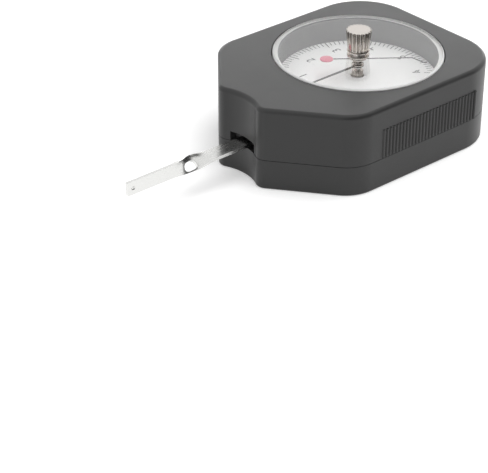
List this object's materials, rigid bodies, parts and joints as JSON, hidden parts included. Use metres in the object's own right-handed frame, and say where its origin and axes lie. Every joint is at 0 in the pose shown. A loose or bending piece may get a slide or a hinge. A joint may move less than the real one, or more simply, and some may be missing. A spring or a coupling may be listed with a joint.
{
  "type": "dial tension gauge",
  "caption": "Hand-held gauge in a black case: a twisted steel lever at the nose turns a pointer over a two-way dial, and a knob on the lens resets a red peak pointer",
  "frame": {"origin": "on the dial's axis, in the plane of the case's rear face", "axes": "+Z out of the dial along its axis, +Y towards the nose and the lever, +X to the right when the dial is seen from the front with the nose up"},
  "size_m": [0.0606, 0.1146, 0.0318],
  "materials": {
    "case_plastic": "black moulded plastic, fine texture",
    "lens_acrylic": "clear polished acrylic",
    "ring_plastic": "grey moulded plastic",
    "dial_enamel": "white painted dial with black print",
    "nickel_plate": "bright nickel plate",
    "bright_steel": "bright rolled steel",
    "zinc_steel": "zinc-plated steel",
    "spring_steel": "tempered spring steel",
    "brass": "plain turned and stamped brass",
    "black_paint": "satin black paint",
    "red_paint": "satin red paint"
  },
  "bodies": {
    "case": {"front_case": "case_plastic", "rear_cover": "case_plastic", "case_screw_nose_right": "zinc_steel", "case_screw_nose_left": "zinc_steel", "case_screw_tail_right": "zinc_steel", "case_screw_tail_left": "zinc_steel", "lens": "lens_acrylic", "dial_ring": "ring_plastic", "dial_plate": "dial_enamel", "lens_bush": "nickel_plate", "lens_bush_nut": "nickel_plate", "main_plate": "brass", "bridge_plate": "brass", "pillar_right": "brass", "pillar_left": "brass", "pillar_tail": "brass", "bridge_screw_right": "zinc_steel", "bridge_screw_left": "zinc_steel", "bridge_screw_tail": "zinc_steel", "movement_screw_upper_right": "zinc_steel", "movement_screw_upper_left": "zinc_steel", "movement_screw_lower_right": "zinc_steel", "movement_screw_lower_left": "zinc_steel", "lever_bush_lower": "brass", "lever_bush_upper": "brass", "pinion_bush_lower": "nickel_plate", "pinion_bush_upper": "nickel_plate", "spring_post": "bright_steel", "stop_pin_right": "bright_steel", "stop_pin_left": "bright_steel", "hairspring_stud": "bright_steel", "hairspring": "spring_steel", "centring_spring": "spring_steel"},
    "lever_arm": {"lever": "bright_steel", "lever_hub": "brass", "lever_arbor": "bright_steel", "lever_rivet_right": "zinc_steel", "lever_rivet_left": "zinc_steel", "gear_sector": "brass", "sector_pin": "bright_steel"},
    "pointer_spindle": {"pinion_arbor": "bright_steel", "hairspring_collet": "brass", "live_pointer": "black_paint", "live_pointer_hub": "nickel_plate"},
    "peak_spindle": {"peak_pointer": "red_paint", "peak_pointer_hub": "nickel_plate", "knob_spindle": "bright_steel", "friction_washer": "spring_steel", "reset_knob": "nickel_plate"}
  },
  "joints": [
    {"name": "lever_swing", "type": "hinge", "parent": "case", "child": "lever_arm", "pos_m": [0, 0.03, 0.01], "axis": [0, 0, 1], "range_deg": [-10.28, 10.28], "stiffness_Nm_per_rad": 1.4, "deforming": ["centring_spring"]},
    {"name": "pointer_turn", "type": "hinge", "parent": "case", "child": "pointer_spindle", "pos_m": [0, 0, 0.016], "axis": [0, 0, 1], "range_deg": [-180, 180], "deforming": ["hairspring"]},
    {"name": "peak_turn", "type": "hinge", "parent": "case", "child": "peak_spindle", "pos_m": [0, 0, 0.025], "axis": [0, 0, 1], "continuous": true}
  ],
  "couplings": [
    {"joint": "pointer_turn", "follows": "lever_swing", "ratio": -17.5}
  ]
}
